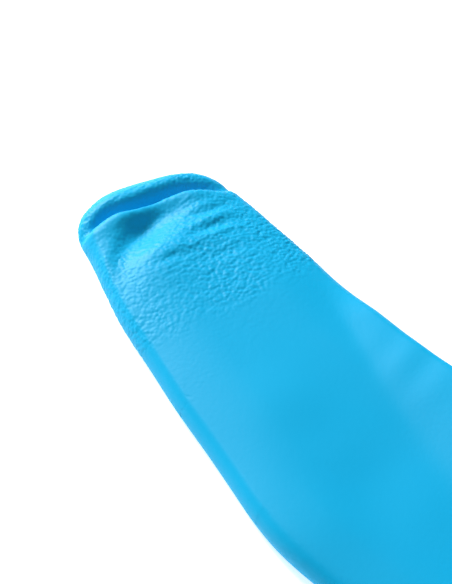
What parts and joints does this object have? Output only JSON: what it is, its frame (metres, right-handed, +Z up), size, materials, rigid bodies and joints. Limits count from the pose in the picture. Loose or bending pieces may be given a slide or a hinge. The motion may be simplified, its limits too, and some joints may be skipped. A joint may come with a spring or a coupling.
{
  "type": "rubber gloves",
  "caption": "Thin blue rubber gloves, left and right, lying palm up, with pebbled fingertips, bending finger stalls, folding cuffs and rolled edges.",
  "frame": {"origin": "on the table, under the centre of the pair's bounding box", "axes": "+Y points from the cuffs towards the fingertips, +X across the pair from the left glove to the right glove, +Z up from the table"},
  "size_m": [0.3586, 0.2482, 0.012],
  "materials": {
    "nitrile_film": "satin, with fine pebbles on the stall ends",
    "rolled_bead": "satin"
  },
  "bodies": {
    "left_palm": {"left_palm": "nitrile_film"},
    "left_cuff": {"left_cuff": "nitrile_film", "left_cuff_bead": "rolled_bead"},
    "left_thumb_root": {"left_thumb_root": "nitrile_film"},
    "left_thumb_tip": {"left_thumb_tip": "nitrile_film"},
    "left_index_root": {"left_index_root": "nitrile_film"},
    "left_index_tip": {"left_index_tip": "nitrile_film"},
    "left_middle_root": {"left_middle_root": "nitrile_film"},
    "left_middle_tip": {"left_middle_tip": "nitrile_film"},
    "left_ring_root": {"left_ring_root": "nitrile_film"},
    "left_ring_tip": {"left_ring_tip": "nitrile_film"},
    "left_little_root": {"left_little_root": "nitrile_film"},
    "left_little_tip": {"left_little_tip": "nitrile_film"},
    "right_palm": {"right_palm": "nitrile_film"},
    "right_cuff": {"right_cuff": "nitrile_film", "right_cuff_bead": "rolled_bead"},
    "right_thumb_root": {"right_thumb_root": "nitrile_film"},
    "right_thumb_tip": {"right_thumb_tip": "nitrile_film"},
    "right_index_root": {"right_index_root": "nitrile_film"},
    "right_index_tip": {"right_index_tip": "nitrile_film"},
    "right_middle_root": {"right_middle_root": "nitrile_film"},
    "right_middle_tip": {"right_middle_tip": "nitrile_film"},
    "right_ring_root": {"right_ring_root": "nitrile_film"},
    "right_ring_tip": {"right_ring_tip": "nitrile_film"},
    "right_little_root": {"right_little_root": "nitrile_film"},
    "right_little_tip": {"right_little_tip": "nitrile_film"}
  },
  "joints": [
    {"name": "left_wrist_bend", "type": "hinge", "parent": "left_palm", "child": "left_cuff", "pos_m": [-0.06374, -0.06655, 0.009], "axis": [-0.9976, -0.0698, 0], "range_deg": [0, 75]},
    {"name": "left_thumb_root_bend", "type": "hinge", "parent": "left_palm", "child": "left_thumb_root", "pos_m": [-0.12862, -0.02037, 0.0074], "axis": [0.6691, 0.7431, 0], "range_deg": [0, 55]},
    {"name": "left_thumb_middle_bend", "type": "hinge", "parent": "left_thumb_root", "child": "left_thumb_tip", "pos_m": [-0.1524, 0.00105, 0.007], "axis": [0.6691, 0.7431, 0], "range_deg": [0, 80]},
    {"name": "left_index_root_bend", "type": "hinge", "parent": "left_palm", "child": "left_index_root", "pos_m": [-0.11027, 0.03938, 0.0074], "axis": [0.9903, 0.1392, 0], "range_deg": [0, 85]},
    {"name": "left_index_middle_bend", "type": "hinge", "parent": "left_index_root", "child": "left_index_tip", "pos_m": [-0.11528, 0.07503, 0.007], "axis": [0.9903, 0.1392, 0], "range_deg": [0, 90]},
    {"name": "left_middle_root_bend", "type": "hinge", "parent": "left_palm", "child": "left_middle_root", "pos_m": [-0.08305, 0.04238, 0.0074], "axis": [0.9969, 0.0785, 0], "range_deg": [0, 85]},
    {"name": "left_middle_middle_bend", "type": "hinge", "parent": "left_middle_root", "child": "left_middle_tip", "pos_m": [-0.08627, 0.08325, 0.007], "axis": [0.9969, 0.0785, 0], "range_deg": [0, 90]},
    {"name": "left_ring_root_bend", "type": "hinge", "parent": "left_palm", "child": "left_ring_root", "pos_m": [-0.05609, 0.04349, 0.0074], "axis": [1, 0, 0], "range_deg": [0, 85]},
    {"name": "left_ring_middle_bend", "type": "hinge", "parent": "left_ring_root", "child": "left_ring_tip", "pos_m": [-0.05609, 0.08049, 0.007], "axis": [1, 0, 0], "range_deg": [0, 90]},
    {"name": "left_little_root_bend", "type": "hinge", "parent": "left_palm", "child": "left_little_root", "pos_m": [-0.03098, 0.04208, 0.0074], "axis": [0.9925, -0.1219, 0], "range_deg": [0, 85]},
    {"name": "left_little_middle_bend", "type": "hinge", "parent": "left_little_root", "child": "left_little_tip", "pos_m": [-0.02745, 0.07086, 0.007], "axis": [0.9925, -0.1219, 0], "range_deg": [0, 90]},
    {"name": "right_wrist_bend", "type": "hinge", "parent": "right_palm", "child": "right_cuff", "pos_m": [0.06098, -0.0697, 0.009], "axis": [-0.9945, 0.1045, 0], "range_deg": [0, 75]},
    {"name": "right_thumb_root_bend", "type": "hinge", "parent": "right_palm", "child": "right_thumb_root", "pos_m": [0.12743, -0.02581, 0.0074], "axis": [0.6428, -0.766, 0], "range_deg": [0, 55]},
    {"name": "right_thumb_middle_bend", "type": "hinge", "parent": "right_thumb_root", "child": "right_thumb_tip", "pos_m": [0.15194, -0.00524, 0.007], "axis": [0.6428, -0.766, 0], "range_deg": [0, 80]},
    {"name": "right_index_root_bend", "type": "hinge", "parent": "right_palm", "child": "right_index_root", "pos_m": [0.11118, 0.03454, 0.0074], "axis": [0.9848, -0.1736, 0], "range_deg": [0, 85]},
    {"name": "right_index_middle_bend", "type": "hinge", "parent": "right_index_root", "child": "right_index_tip", "pos_m": [0.11743, 0.06999, 0.007], "axis": [0.9848, -0.1736, 0], "range_deg": [0, 90]},
    {"name": "right_middle_root_bend", "type": "hinge", "parent": "right_palm", "child": "right_middle_root", "pos_m": [0.08408, 0.03849, 0.0074], "axis": [0.9936, -0.1132, 0], "range_deg": [0, 85]},
    {"name": "right_middle_middle_bend", "type": "hinge", "parent": "right_middle_root", "child": "right_middle_tip", "pos_m": [0.08872, 0.07923, 0.007], "axis": [0.9936, -0.1132, 0], "range_deg": [0, 90]},
    {"name": "right_ring_root_bend", "type": "hinge", "parent": "right_palm", "child": "right_ring_root", "pos_m": [0.05718, 0.04054, 0.0074], "axis": [0.9994, -0.0349, 0], "range_deg": [0, 85]},
    {"name": "right_ring_middle_bend", "type": "hinge", "parent": "right_ring_root", "child": "right_ring_tip", "pos_m": [0.05847, 0.07752, 0.007], "axis": [0.9994, -0.0349, 0], "range_deg": [0, 90]},
    {"name": "right_little_root_bend", "type": "hinge", "parent": "right_palm", "child": "right_little_root", "pos_m": [0.03203, 0.04001, 0.0074], "axis": [0.9962, 0.0872, 0], "range_deg": [0, 85]},
    {"name": "right_little_middle_bend", "type": "hinge", "parent": "right_little_root", "child": "right_little_tip", "pos_m": [0.0295, 0.0689, 0.007], "axis": [0.9962, 0.0872, 0], "range_deg": [0, 90]},
    {"name": "right_glove_lift", "type": "slide", "parent": "left_palm", "child": "right_palm", "axis": [0, 0, 1], "range_m": [0, 0.3]}
  ]
}
